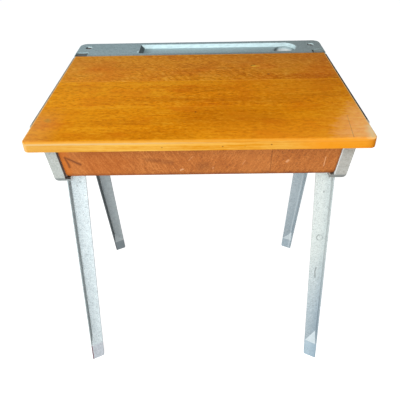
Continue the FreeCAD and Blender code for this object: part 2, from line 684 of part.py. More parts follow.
def bottom_panel():
    """Plywood floor of the book box, laid on the lips of the castings."""
    x_half = wall_x(Z_FLOOR) - WALL_THICK - BOTTOM_SIDE_GAP
    floor = block(-x_half, x_half, Y_FRONT_PANEL + PANEL_THICK, Y_BACK_PANEL, Z_FLOOR, Z_FLOOR + BOTTOM_THICK)
    for side in (-1, 1):
        places = [(side * x, y) for x, y in bottom_screw_places()]
        floor = cut_screws(floor, places, Z_BOTTOM_SCREW, BOTTOM_SCREW_LENGTH)
    return floor


def build():
    """All pieces of the desk by name."""
    frame = side_frame()
    strap = hinge_strap()
    cleat = lid_cleat()
    pieces = {
        "side_frame_right": frame,
        "side_frame_left": mirrored(frame),
        "back_rail": back_rail(),
        "front_panel": end_panel(Y_FRONT_PANEL, Z_LID_UNDER - PANEL_TOP_GAP),
        "back_panel": end_panel(Y_BACK_PANEL, Z_LEDGE - RAIL_PAD_THICK - PANEL_FIT),
        "bottom_panel": bottom_panel(),
        "lid_cleat_right": cleat,
        "lid_cleat_left": mirrored(cleat),
        "hinge_strap_right": strap,
        "hinge_strap_left": mirrored(strap),
        "hinge_pin_right": pin_solid(1),
        "hinge_pin_left": pin_solid(-1),
        "rail_bolts": Part.makeCompound([bolt_solid(side) for side in (-1, 1)]),
        "rail_nuts": Part.makeCompound([nut_solid(side) for side in (-1, 1)]),
        "strap_screws": screws_on_both_sides(strap_screw_places(), Z_STRAP_SCREW, STRAP_SCREW_LENGTH),
        "cleat_screws": screws_on_both_sides(cleat_screw_places(), Z_CLEAT_SCREW, CLEAT_SCREW_LENGTH),
        "bottom_screws": screws_on_both_sides(bottom_screw_places(), Z_BOTTOM_SCREW, BOTTOM_SCREW_LENGTH),
    }
    pieces.update(lid_boards())
    return pieces


os.makedirs("parts", exist_ok=True)
for name, shape in build().items():
    shape.exportStep(os.path.join("parts", name + ".step"))
    print(name, "solids", len(shape.Solids), "valid", shape.isValid(), "volume", round(shape.Volume))
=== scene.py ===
"""Looks of a school desk with a lift lid: castings, varnished wood, wear and a studio."""

import logging
import math
from dataclasses import dataclass
from enum import Enum
from functools import cached_property, reduce
from typing import Callable, NamedTuple, Sequence

import bmesh
import bpy
from mathutils import Matrix, Vector


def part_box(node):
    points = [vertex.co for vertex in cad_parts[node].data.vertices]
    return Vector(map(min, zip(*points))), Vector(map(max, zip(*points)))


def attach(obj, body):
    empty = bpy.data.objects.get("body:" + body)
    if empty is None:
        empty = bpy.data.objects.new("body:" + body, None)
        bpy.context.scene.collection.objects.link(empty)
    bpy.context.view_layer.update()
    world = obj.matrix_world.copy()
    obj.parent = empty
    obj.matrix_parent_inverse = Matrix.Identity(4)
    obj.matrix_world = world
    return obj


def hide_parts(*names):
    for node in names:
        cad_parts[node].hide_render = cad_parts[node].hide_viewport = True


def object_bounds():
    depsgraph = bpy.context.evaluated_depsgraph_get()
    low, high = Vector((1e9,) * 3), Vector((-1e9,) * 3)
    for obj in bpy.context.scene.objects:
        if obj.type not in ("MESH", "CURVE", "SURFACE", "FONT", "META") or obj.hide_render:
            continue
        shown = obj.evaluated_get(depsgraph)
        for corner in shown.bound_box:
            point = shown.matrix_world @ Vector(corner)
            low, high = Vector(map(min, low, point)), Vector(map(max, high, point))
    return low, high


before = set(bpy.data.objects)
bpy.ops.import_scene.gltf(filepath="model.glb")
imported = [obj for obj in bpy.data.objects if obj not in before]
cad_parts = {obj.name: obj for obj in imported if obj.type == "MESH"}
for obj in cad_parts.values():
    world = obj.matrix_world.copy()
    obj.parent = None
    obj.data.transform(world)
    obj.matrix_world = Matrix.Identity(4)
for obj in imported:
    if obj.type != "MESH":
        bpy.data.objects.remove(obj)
CAD_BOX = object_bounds()
LOW, HIGH = CAD_BOX
log = logging.getLogger("school_desk")

Rgb = tuple[float, float, float]
Point = tuple[float, float, float]
Pair = tuple[float, float]
Socket = bpy.types.NodeSocket
Material = bpy.types.Material
MERGE_GAP = 1e-6
FLAT_ANGLE = math.radians(0.3)
SHARP_ANGLE = math.radians(28)
SMOOTH_ANGLE = math.radians(16)
ARRIS_ROOM = 2.6
ARRIS = "arris"
UP: Point = (0.0, 0.0, 1.0)
RIGHT: Point = (1.0, 0.0, 0.0)
LEFT: Point = (-1.0, 0.0, 0.0)
SITTER: Point = (0.0, -1.0, 0.0)
WHITE: Rgb = (1.0, 1.0, 1.0)


class Body(Enum):
    """Bodies that the pieces ride on."""

    FRAME = "frame"
    LID = "lid"


class Slot(Enum):
    """Material slots of the part's record."""

    CAST = "cast_aluminium"
    BEECH = "beech"
    PLY = "plywood"
    STEEL = "steel"


class Board(Enum):
    """Boards of the lid, front to rear."""

    FRONT = "lid_board_front"
    MIDDLE = "lid_board_middle"
    REAR = "lid_board_rear"


class Patch(NamedTuple):
    """Soft patch along X on the lid: its middle, half length, width and strength."""

    x: float
    y: float
    half: float
    width: float
    share: float


class Stroke(NamedTuple):
    """Line on the front panel: its ends, width, softness and strength."""

    start: Pair
    end: Pair
    width: float
    soft: float = 0.35
    share: float = 1.0


def tone(red: int, green: int, blue: int) -> Rgb:
    """Linear colour of a display colour with channels from 0 to 255."""
    shown = (red / 255, green / 255, blue / 255)
    return tuple(((c + 0.055) / 1.055) ** 2.4 if c > 0.04 else c / 12.92 for c in shown)


class Graph:
    """Short way to lay out the nodes of one material, on Object coordinates, or of the world."""

    def __init__(self, owner: Material | bpy.types.World, shader: str = "Principled BSDF") -> None:
        """Starts with the owner's shader and its coordinates.

        Args:
            owner: New material or world.
            shader: Name of the shader node that it starts with.
        """
        owner.use_nodes = True
        self.owner, self.tree = owner, owner.node_tree
        self.shader = self.tree.nodes[shader]
        coordinates = self.node("TexCoord", {}).outputs
        self.place, self.normal = coordinates["Object"], coordinates["Normal"]
        self.x, self.y, self.z = self.node("SeparateXYZ", {0: self.place}).outputs
        self.colour: object = WHITE

    def feed(self, socket: Socket, value: object) -> None:
        """Links a socket, or sets its constant.

        Args:
            socket: Input of a node.
            value: Output to link, or the constant.
        """
        if isinstance(value, bpy.types.NodeSocket):
            self.tree.links.new(value, socket)
        elif socket.type == "RGBA":
            socket.default_value = (*value[:3], 1.0)
        else:
            socket.default_value = value

    def node(self, kind: str, inputs: dict[object, object], **settings: object) -> bpy.types.Node:
        """Adds a node.

        Args:
            kind: Node type without its ShaderNode prefix.
            inputs: Values or sockets by input name or index.
            settings: Properties of the node.

        Returns:
            The new node.
        """
        made = self.tree.nodes.new("ShaderNode" + kind)
        for key, value in settings.items():
            setattr(made, key, value)
        for key, value in inputs.items():
            self.feed(made.inputs[key], value)
        return made

    def vector(self, operation: str, a: object, b: object = (0, 0, 0), scale: object = 1.0) -> Socket:
        """One step of vector arithmetic."""
        made = self.node("VectorMath", {0: a, 1: b, 3: scale}, operation=operation)
        return made.outputs["Value" if operation in ("DOT_PRODUCT", "DISTANCE") else "Vector"]

    def calc(self, operation: str, a: object, b: object = 0.0, c: object = 0.0) -> Socket:
        """One step of arithmetic."""
        return self.node("Math", {0: a, 1: b, 2: c}, operation=operation).outputs[0]

    def facing(self, direction: Point) -> Socket:
        """How squarely the surface faces a direction, up to 1."""
        return self.vector("DOT_PRODUCT", self.normal, direction)

    def pattern(self, scale: Point, turn: Point = (0, 0, 0), shift: Point = (0, 0, 0),
                detail: float = 3.0, rough: float = 0.55, twist: float = 0.0) -> Socket:
        """Noise from 0 to 1.

        Args:
            scale: Features per metre along each axis, after the turn.
            turn: Angles in degrees that the pattern is turned by.
            shift: Offset in metres, after the turn.
            detail: Number of finer layers.
            rough: Strength of the finer layers.
            twist: How much the pattern is distorted.

        Returns:
            The value.
        """
        angles = tuple(math.radians(angle) for angle in turn)
        turned = self.node("Mapping", {0: self.place, "Location": shift, "Rotation": angles})
        point = self.vector("MULTIPLY", turned.outputs[0], scale)
        made = self.node("TexNoise", {"Vector": point, "Scale": 1.0, "Detail": detail,
                                      "Roughness": rough, "Distortion": twist})
        return made.outputs["Fac"]

    def remap(self, value: Socket, low: float, high: float, to_low: float = 0.0,
              to_high: float = 1.0) -> Socket:
        """A range of a value mapped to another, held at its ends."""
        return self.node("MapRange", {0: value, 1: low, 2: high, 3: to_low, 4: to_high}).outputs[0]

    def weigh(self, *parts: tuple[Socket, float]) -> Socket:
        """Sum of values, each times its share."""
        return reduce(lambda made, part: self.calc("MULTIPLY_ADD", *part, made), parts, 0.0)

    def within(self, value: Socket, low: float, high: float, fade: float) -> Socket:
        """Mask that is 1 between two limits and fades out beyond them."""
        above = self.remap(value, low - fade, low)
        return self.calc("MULTIPLY", above, self.remap(value, high + fade, high))

    def both(self, *masks: object) -> Socket:
        """Product of masks and shares."""
        return reduce(lambda made, mask: self.calc("MULTIPLY", made, mask), masks)

    def most(self, *masks: Socket) -> Socket:
        """Largest of several masks."""
        return reduce(lambda made, mask: self.calc("MAXIMUM", made, mask), masks)

    def blend(self, share: object, a: object, b: object) -> Socket:
        """Two colours mixed by the share of the second."""
        return self.node("Mix", {0: share, 6: a, 7: b}, data_type="RGBA").outputs[2]

    def cover(self, tint: object, *masks: object) -> None:
        """Paints a tint over the colour so far, by the product of masks and shares."""
        self.colour = self.blend(self.both(*masks), self.colour, tint)

    def ramp(self, value: Socket, stops: Sequence[tuple[float, Rgb]]) -> Socket:
        """Colours along a value.

        Args:
            value: Socket from 0 to 1.
            stops: Position and colour of each stop, in order.

        Returns:
            The colour.
        """
        made = self.node("ValToRGB", {0: value})
        elements = made.color_ramp.elements
        for element, (position, colour) in zip(elements, (stops[0], stops[-1])):
            element.position = position
            element.color = (*colour, 1.0)
        for position, colour in stops[1:-1]:
            elements.new(position).color = (*colour, 1.0)
        return made.outputs[0]

    def wander(self, reach: float, scale: float) -> Socket:
        """The surface point pulled about by noise.

        Args:
            reach: How far it is pulled, in metres.
            scale: Features of the pull per metre.

        Returns:
            The vector.
        """
        made = self.node("TexNoise", {"Vector": self.place, "Scale": scale, "Detail": 3.0})
        pull = self.vector("SUBTRACT", made.outputs["Color"], (0.5, 0.5, 0.5))
        return self.vector("ADD", self.place, self.vector("SCALE", pull, scale=2 * reach))

    def streak(self, start: Point, end: Point, width: float, soft: float = 0.35,
               point: Socket | None = None) -> Socket:
        """Mask that is 1 along a line and fades out across its width.

        Args:
            start: One end in metres.
            end: Other end in metres.
            width: Distance from the line at which the mask ends.
            soft: Share of the width at which the fade starts.
            point: Point to measure from, if not the plain surface point.

        Returns:
            The mask.
        """
        along = Vector(end) - Vector(start)
        away = self.vector("SUBTRACT", point or self.place, start)
        ratio = along / max(along.length_squared, MERGE_GAP)
        share = self.remap(self.vector("DOT_PRODUCT", away, ratio), 0.0, 1.0)
        gap = self.vector("DISTANCE", away, self.vector("SCALE", along, scale=share))
        return self.remap(gap, width, width * soft)

    def bump(self, height: Socket, depth: float) -> None:
        """Raises the surface by a height pattern, depth in metres."""
        made = self.node("Bump", {"Height": height, "Distance": depth})
        self.feed(self.shader.inputs["Normal"], made.outputs[0])

    def dress(self, **values: object) -> None:
        """Gives the shader the colour and other values, each socket named with underscores."""
        for key, value in {"Base_Color": self.colour, **values}.items():
            self.feed(self.shader.inputs[key.replace("_", " ")], value)

    def show(self, seen: Socket, unseen: Socket, output: str) -> None:
        """Shows one shader to the camera, in gloss and through glass, and another to other rays.

        Args:
            seen: Shader that shows.
            unseen: Shader that lights.
            output: Name of the tree's output node.
        """
        path = self.node("LightPath", {}).outputs
        shown = self.most(*(path["Is %s Ray" % kind] for kind in ("Camera", "Glossy", "Transmission")))
        choice = self.node("MixShader", {0: shown, 1: unseen, 2: seen})
        self.feed(self.tree.nodes[output].inputs["Surface"], choice.outputs[0])


class Finish:
    """Procedural finish that makes its material once."""

    name: str

    @cached_property
    def graph(self) -> Graph:
        """Graph of the finish's own material."""
        return Graph(bpy.data.materials.new(self.name))

    @cached_property
    def material(self) -> Material:
        """The finish's material, laid out on first use."""
        self.layout()
        return self.graph.owner

    def layout(self) -> None:
        """Lays out the finish's nodes."""
        raise NotImplementedError


@dataclass(frozen=True)
class BeechVarnish(Finish):
    """Golden varnished beech of one lid board, with the grain along X."""

    name: str
    board: Board
    offset: float
    slant: float
    figure: float
    faded: float = 0.0
    calm: float = 0.25
    span: float = 0.12
    pored: float = 0.2
    relief: float = 0.00006
    roughness: float = 0.4
    matt: float = 0.007
    top_band: Pair = (0.004, 0.001)
    side_band: Pair = (0.008, 0.0062)
    nose_band: Pair = (0.009, 0.0065)
    corner_inset: float = 0.0193
    nose_line: float = 0.0047
    deep: Rgb = tone(205, 108, 0)
    body: Rgb = tone(239, 145, 4)
    pale: Rgb = tone(251, 172, 34)
    blush: Rgb = tone(226, 112, 2)
    gold: Rgb = tone(244, 164, 26)
    brown: Rgb = tone(184, 102, 10)
    dull: Rgb = tone(212, 130, 46)
    fleck: Rgb = tone(186, 96, 0)
    flush: Rgb = tone(222, 98, 8)
    sunned: Rgb = tone(252, 156, 34)
    # The worn tones also paint the sheen on the front right corner.
    worn_deep_and_sheen: Rgb = tone(253, 158, 30)
    worn: Rgb = tone(255, 184, 58)
    cream: Rgb = tone(240, 203, 136)
    edge_deep: Rgb = tone(198, 130, 20)
    edge_pale: Rgb = tone(216, 166, 72)
    edge_left: Rgb = tone(198, 150, 76)
    edge_end: Rgb = tone(214, 172, 110)
    edge_right: Rgb = tone(225, 138, 18)
    edge_wear_and_highlight: Rgb = tone(204, 170, 112)
    rubbed: Rgb = tone(214, 153, 58)
    raw: Rgb = tone(190, 138, 72)
    milk: Rgb = tone(222, 176, 140)
    bruise: Rgb = tone(92, 52, 20)
    grime: Rgb = tone(186, 148, 66)
    chipped: Rgb = tone(255, 196, 62)
    flushes: tuple[Patch, ...] = (
        Patch(-0.265, -0.186, 0.012, 0.03, 0.4), Patch(-0.227, 0.068, 0.01, 0.035, 0.45),
        Patch(-0.146, -0.055, 0.03, 0.022, 0.35), Patch(-0.034, -0.125, 0.01, 0.018, 0.3),
        Patch(0.132, -0.188, 0.006, 0.018, 0.3), Patch(0.15, 0.076, 0.01, 0.024, 0.35),
        Patch(0.262, 0.049, 0.01, 0.045, 0.35),
    )
    browned: tuple[Patch, ...] = (
        Patch(0.06, -0.165, 0.06, 0.06, 0.4), Patch(0.15, -0.085, 0.1, 0.035, 0.1),
        Patch(-0.15, -0.228, 0.12, 0.03, 0.3), Patch(-0.1, -0.09, 0.08, 0.025, 0.15),
    )
    pits: tuple[Point, ...] = ((-0.0635, 0.657, 0.5), (0.0407, 0.6576, 0.7),
                               (0.0792, 0.657, 0.25), (0.1242, 0.6603, 0.8))

    def layout(self) -> None:
        """Lays out grain, slow changes of colour that are partly painted light, wear with painted sheen and
        highlights, marks and varnish.
        """
        g = self.graph
        fine, flecks = self.grain()
        self.mellow_and_paint_light()
        self.blotches()
        g.cover(self.fleck, g.remap(flecks, 0.46, 0.34, 0.0, self.pored))
        g.cover(self.pale, g.remap(flecks, 0.54, 0.66, 0.0, self.pored))
        corner = self.worn_and_sheen_corner()
        self.wear(corner, flecks)
        self.marks()
        g.bump(g.weigh((fine, 0.6), (flecks, 0.4)), self.relief)
        polished = g.both(corner, g.remap(g.y, -0.16, -0.22, 0.55, 1.0))
        gloss = g.remap(polished, 0.2, 0.8, self.matt, 1.0)
        g.dress(Roughness=self.roughness, Specular_IOR_Level=gloss)

    def on_top(self, start: Pair, end: Pair, width: float, soft: float = 0.35,
               point: Socket | None = None) -> Socket:
        """Mask along a line on the lid's top."""
        return self.graph.streak((*start, HIGH.z), (*end, HIGH.z), width, soft, point)

    def near_top(self) -> Socket:
        """Mask of the lid's top and its arrises."""
        return self.graph.remap(self.graph.z, *(HIGH.z - depth for depth in self.top_band))

    def grain(self) -> tuple[Socket, Socket]:
        """Lays out the wood's grain, dashes and bands.

        Returns:
            The finest grain and the flecks.
        """
        g = self.graph
        lean, shift = (0, 0, self.slant), (self.offset, self.offset / 3, 0)
        streaks = g.pattern((9, 75, 75), lean, shift, detail=4, rough=0.65, twist=0.8)
        fine = g.pattern((30, 420, 420), lean, shift, rough=0.6)
        flecks = g.pattern((100, 170, 170), (0, 0, self.slant + 4), shift, rough=0.7)
        clouds = g.pattern((9, 16, 16), (0, 0, 20), shift)
        ripple = g.pattern((26, 140, 140), (0, 0, 50), shift, rough=0.6, twist=1.2)
        value = g.weigh((streaks, 0.25), (fine, 0.05), (flecks, 0.5), (clouds, 0.2),
                        (ripple, self.figure))
        middle = 0.5 + self.figure / 2
        g.colour = g.ramp(value, ((middle - self.span, self.deep), (middle, self.body),
                                  (middle + self.span, self.pale)))
        dashes = g.pattern((55, 160, 160), (0, 0, self.slant + 3), (1.3, 0.4, 0.0), detail=2, rough=0.6)
        g.cover(self.fleck, g.remap(dashes, 0.54, 0.7, 0.0, 0.42))
        warm = g.pattern((14, 22, 22), shift=(3.1, 1.7, 0.0), detail=2)
        g.cover(self.blush, g.remap(warm, 0.5, 0.66, 0.0, 0.6))
        bands = g.pattern((5, 34, 34), lean, (5.3, 0.9, 0.0), detail=2)
        g.cover(self.gold, g.remap(bands, 0.5, 0.66, 0.0, 0.5))
        g.cover(self.brown, g.remap(bands, 0.48, 0.32, 0.0, 0.3))
        return fine, flecks

    def mellow_and_paint_light(self) -> None:
        """Changes the colour slowly across the lid, partly as painted light: paler at the left and browner
        towards the right rear, as the lamps' light falls off.
        """
        g = self.graph
        # Painted light in part: browner towards the right rear, paler at the left.
        g.cover(self.brown, g.remap(g.x, -0.15, 0.3), g.remap(g.y, -0.19, -0.03), 0.4)
        g.cover(self.pale, g.remap(g.x, 0.0, -0.25), 0.3)
        g.cover(self.dull, g.remap(g.y, -0.01, 0.1), self.faded)
        g.cover(self.body, g.remap(g.x, -0.1, 0.1), self.calm)
        g.cover(self.sunned, g.remap(g.y, -0.15, -0.235), g.remap(g.x, -0.05, 0.15), 0.55)

    def blotches(self) -> None:
        """Paints redder and browner places under the varnish."""
        g = self.graph
        loose = g.wander(0.02, 30)
        for tint, patches in ((self.flush, self.flushes), (self.fleck, self.browned)):
            for x, y, half, width, share in patches:
                g.cover(tint, self.on_top((x - half, y), (x + half, y), width, 0.0, loose), share)

    def worn_and_sheen_corner(self) -> Socket:
        """Mask of the front right corner, where the varnish is worn pale and a painted sheen lightens it
        further.

        Returns:
            The mask.
        """
        g = self.graph
        ragged = g.weigh((g.pattern((30, 60, 60), detail=4, rough=0.65), 0.03), (g.x, -1.0))
        inward = g.calc("ADD", ragged, HIGH.x - self.corner_inset)
        reach = g.remap(g.y, -0.235, -0.1, 0.14, 0.075)
        corner = g.calc("POWER", g.remap(g.calc("DIVIDE", inward, reach), 1.0, 0.1), 1.7)
        streaky = g.pattern((40, 130, 130), shift=(0.9, 0.3, 0.0), rough=0.65)
        return g.both(corner, g.remap(streaky, 0.38, 0.6, 0.7, 1.0), self.near_top(),
                      g.remap(g.y, -0.06, -0.16))

    def wear(self, corner: Socket, flecks: Socket) -> None:
        """Wears the corners, the arrises, the nose and the edges, and bares the underside; the front right
        corner and the side arrises get a painted sheen and highlight over their wear.

        Args:
            corner: Mask of the worn corner, which also takes a painted sheen.
            flecks: Flecks of the grain.
        """
        g = self.graph
        g.cover(self.milk, g.remap(g.x, -0.245, -0.305), g.remap(g.y, -0.11, -0.17), 0.17)
        # Worn pale varnish and painted sheen on the front right corner.
        bare_and_sheen = g.blend(g.remap(flecks, 0.36, 0.62), self.worn_deep_and_sheen, self.worn)
        g.cover(bare_and_sheen, corner, 0.95)
        # Cream along the side arrises and at the front right tip: wear with a painted highlight.
        start, end = (HIGH.x - inset for inset in self.side_band)
        sides = g.remap(g.calc("ABSOLUTE", g.x), start, end, 0.0, 0.85)
        tip = self.on_top((0.2965, -0.239), (0.303, -0.205), 0.012, 0.0, g.wander(0.004, 120))
        g.cover(self.cream, g.most(tip, g.both(sides, self.near_top())))
        upward = g.facing(UP)
        g.cover(self.raw, g.remap(upward, -0.4, -0.7, 0.0, 0.6))
        front = g.remap(g.y, *(LOW.y + inset for inset in self.nose_band))
        nose = g.both(front, g.remap(upward, 0.995, 0.9))
        g.cover(self.rubbed, nose, g.remap(g.x, 0.08, 0.26, 0.8, 0.3))
        g.cover(self.edges(), g.remap(g.calc("ABSOLUTE", upward), 0.75, 0.35))

    def edges(self) -> Socket:
        """Colour of the board's sawn edges.

        Returns:
            The colour.
        """
        g = self.graph
        bands = g.pattern((8, 260, 260), shift=(0.7, 0.2, 0.4))
        pores = g.pattern((90, 230, 230), detail=2, rough=0.6)
        edge = g.blend(g.remap(g.weigh((bands, 0.8), (pores, 0.2)), 0.37, 0.6),
                       self.edge_deep, self.edge_pale)
        washes = ((-0.1, 0.1, 0.2, self.edge_right), (0.15, 0.21, 0.7, self.edge_right),
                  (-0.12, -0.3, 0.6, self.edge_left), (0.285, 0.303, 0.7, self.brown))
        for start, end, share, tint in washes:
            edge = g.blend(g.remap(g.x, start, end, 0.0, share), edge, tint)
        return g.blend(g.both(g.remap(g.facing(LEFT), 0.1, 0.5), 0.8), edge, self.edge_end)

    def marks(self) -> None:
        """Paints the board's own worn and bruised places, and on the rear board a painted highlight along
        its rear arris.
        """
        g = self.graph
        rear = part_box(self.board.value)[1].y
        if self.board is Board.REAR:
            g.cover(self.bruise, self.on_top((0.1205, 0.0815), (0.1275, 0.083), 0.003, 0.3), 0.8)
            chip = self.on_top((0.124, 0.077), (0.1275, 0.077), 0.005, 0.5)
            flake = self.on_top((0.131, 0.0765), (0.1375, 0.0775), 0.0042, 0.3)
            g.cover(self.chipped, g.most(chip, g.both(flake, 0.6)))
            g.cover(self.bruise, self.on_top((0.1528, 0.0308), (0.1532, 0.0308), 0.004), 0.6)
            # Worn pale and painted highlight along the rear arris.
            g.cover(self.cream, g.remap(g.y, rear - 0.006, rear - 0.001, 0.0, 0.35))
        elif self.board is Board.MIDDLE:
            joint = g.remap(g.y, rear - 0.005, rear - 0.002)
            g.cover(self.pale, joint, g.remap(g.x, -0.05, 0.06, 0.1, 0.5))
        else:
            self.front_marks()

    def front_marks(self) -> None:
        """Paints the nose's line of wear and painted highlight, a smudge, a scratch and pits on the front
        board.
        """
        g = self.graph
        # Wear and painted highlight along the rounded nose, strongest at the left.
        line = HIGH.z - self.nose_line
        arris = g.streak((LOW.x, LOW.y, line), (HIGH.x, LOW.y, line), 0.0024, 0.3, g.wander(0.0008, 60))
        g.cover(self.edge_wear_and_highlight, arris, g.remap(g.x, -0.15, 0.06, 0.95, 0.1))
        smudge = self.on_top((-0.2805, -0.1665), (-0.278, -0.1685), 0.0085, 0.1, g.wander(0.006, 110))
        g.cover(self.grime, smudge, 0.6)
        scratch = self.on_top((0.2732, -0.162), (0.264, -0.24), 0.0009, 0.3, g.wander(0.0006, 60))
        dark = g.most(g.both(scratch, g.remap(g.y, -0.16, -0.23, 0.2, 0.45)),
                      self.on_top((-0.0064, -0.1418), (-0.006, -0.1418), 0.0022))
        for x, z, share in self.pits:
            pit = g.streak((x, LOW.y, z), (x + 0.0006, LOW.y, z), 0.0017)
            dark = g.most(dark, g.both(pit, share))
        g.cover(self.bruise, dark)


@dataclass(frozen=True)
class StainedPly(Finish):
    """Reddish stained plywood with a slanting figure across its face."""

    name: str
    slant: float
    turned: float
    marked: bool
    relief: float = 0.00008
    deep: Rgb = tone(149, 80, 29)
    body: Rgb = tone(168, 96, 37)
    pale: Rgb = tone(190, 119, 57)
    # bruise also paints the shade in the gaps beside the ears.
    bruise: Rgb = tone(84, 38, 16)
    rich: Rgb = tone(196, 106, 26)
    amber: Rgb = tone(160, 80, 14)
    chipped: Rgb = tone(226, 172, 124)
    scars: tuple[Stroke, ...] = (
        Stroke((-0.2587, 0.5956), (-0.2535, 0.5732), 0.004, 0.1, 0.75),
        Stroke((-0.2587, 0.5956), (-0.2323, 0.5788), 0.004, 0.1, 0.75),
        Stroke((-0.101, 0.587), (-0.0536, 0.5794), 0.007, 0.0, 0.4),
        Stroke((0.1385, 0.607), (0.1374, 0.555), 0.0011, share=0.5),
        Stroke((0.004, 0.571), (0.012, 0.571), 0.014, 0.0, 0.35),
    )
    chips: tuple[Stroke, ...] = (
        Stroke((0.168, 0.579), (0.1705, 0.582), 0.003),
        Stroke((0.242, 0.5886), (0.2403, 0.5676), 0.0013),
        Stroke((-0.021, 0.5846), (-0.012, 0.5949), 0.0009, share=0.5),
        Stroke((-0.037, 0.562), (-0.033, 0.564), 0.003),
        Stroke((0.0257, 0.565), (0.0262, 0.568), 0.002, share=0.5),
        Stroke((0.083, 0.574), (0.088, 0.583), 0.0011, share=0.5),
    )

    def layout(self) -> None:
        """Lays out the figure, the pores, the marks and the worn varnish."""
        g = self.graph
        right, left = (g.pattern((45, 230, 230), (0, turn, 0), rough=0.65)
                       for turn in (self.slant, self.turned))
        side = g.weigh((g.x, 1.0), (g.pattern((30, 30, 30), detail=2), 0.12))
        pores = g.node("Mix", {0: g.remap(side, 0.02, 0.1), 2: left, 3: right}).outputs[0]
        figure = g.pattern((20, 90, 90), (0, self.slant, 0), detail=4, rough=0.6, twist=0.6)
        patches = g.pattern((9, 9, 16))
        specks = g.pattern((380, 380, 380), detail=1)
        value = g.weigh((figure, 0.07), (pores, 0.44), (patches, 0.17), (specks, 0.32))
        g.colour = g.ramp(value, ((0.41, self.deep), (0.5, self.body), (0.59, self.pale)))
        g.cover(g.blend(0.6, g.colour, self.pale), g.remap(g.x, -0.25, 0.25, 0.0, 0.45))
        dots = g.pattern((300, 300, 300), shift=(0.2, 0.5, 0.1), detail=1)
        g.cover(self.bruise, g.remap(dots, 0.55, 0.72), g.remap(g.x, -0.2, 0.15, 0.15, 0.5),
                g.remap(g.x, 0.27, 0.22, 0.4, 1.0))
        if self.marked:
            self.marks()
        g.bump(pores, self.relief)
        g.dress(Roughness=0.5, Specular_IOR_Level=0.2)

    def stroke(self, face: float, mark: Stroke) -> Socket:
        """Mask of a ragged line on the panel's face, which is at a place along Y."""
        g, ends = self.graph, ((x, face, z) for x, z in mark[:2])
        return g.both(g.streak(*ends, mark.width, mark.soft, g.wander(0.6 * mark.width, 0.3 / mark.width)),
                      mark.share)

    def marks(self) -> None:
        """Paints scratches, chips, a painted sheen at two places, and painted shade in the gaps beside the
        front panel.
        """
        g = self.graph
        low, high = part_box("front_panel")
        edge = self.stroke(low.y, Stroke((low.x, low.z), (high.x, low.z), 0.0075, 0.1))
        dark = g.most(*(self.stroke(low.y, mark) for mark in self.scars),
                      g.both(edge, g.remap(g.x, -0.2, 0.2, 0.55, 0.75)))
        g.cover(self.amber, g.within(g.x, -0.205, -0.155, 0.035), 0.35)
        # Painted sheen: paler at the left end and in a band right of the middle.
        sheen = g.most(g.remap(g.x, -0.215, -0.24), g.within(g.x, 0.085, 0.132, 0.012))
        g.cover(self.pale, sheen, 0.3)
        g.cover(self.rich, g.remap(g.x, -0.246, -0.258), 0.6)
        g.cover(self.bruise, dark)
        # Painted shade in the gaps along the ears' inner edges, deeper on the right towards the bottom.
        left, right = (g.streak((hand * 0.2753, low.y, high.z), (hand * 0.2631, low.y, low.z), width, soft)
                       for hand, width, soft in ((-1, 0.001, 0.6), (1, 0.0034, 0.4)))
        g.cover(self.bruise, left, 0.5)
        g.cover(self.bruise, right, g.remap(g.z, high.z, low.z, 0.15, 0.5))
        chips = g.most(*(self.stroke(low.y, mark) for mark in self.chips))
        g.cover(self.chipped, chips, 0.55)


@dataclass(frozen=True)
class CastMetal(Finish):
    """Pebbled cast aluminium, worn bright at its arrises."""

    name: str
    dull: Rgb
    body: Rgb
    bright: Rgb
    speck: Rgb
    speckled: float

    def layout(self) -> None:
        """Lays out the mottled tone, dark specks, worn arrises, age with painted light and shade, and
        pebbled skin.
        """
        g = self.graph
        mottle = g.pattern((120, 120, 120), rough=0.6)
        pebble = g.pattern((340, 340, 340), rough=0.65)
        value = g.weigh((mottle, 0.35), (pebble, 0.65))
        g.colour = g.ramp(value, ((0.36, self.dull), (0.5, self.body), (0.64, self.bright)))
        spots = g.pattern((380, 380, 380), shift=(0.3, 0.1, 0.2), detail=1)
        g.cover(self.speck, g.remap(spots, 0.58, 0.72), self.speckled)
        arris = g.node("Attribute", {}, attribute_name=ARRIS).outputs["Fac"]
        g.cover(self.bright, arris, 0.4)
        self.age()
        g.bump(pebble, 0.00015)
        g.dress(Roughness=0.5, Metallic=0.05, Specular_IOR_Level=0.12)

    def age(self) -> None:
        """Ages the metal and paints light and shade on it, by its place on the desk."""
        raise NotImplementedError


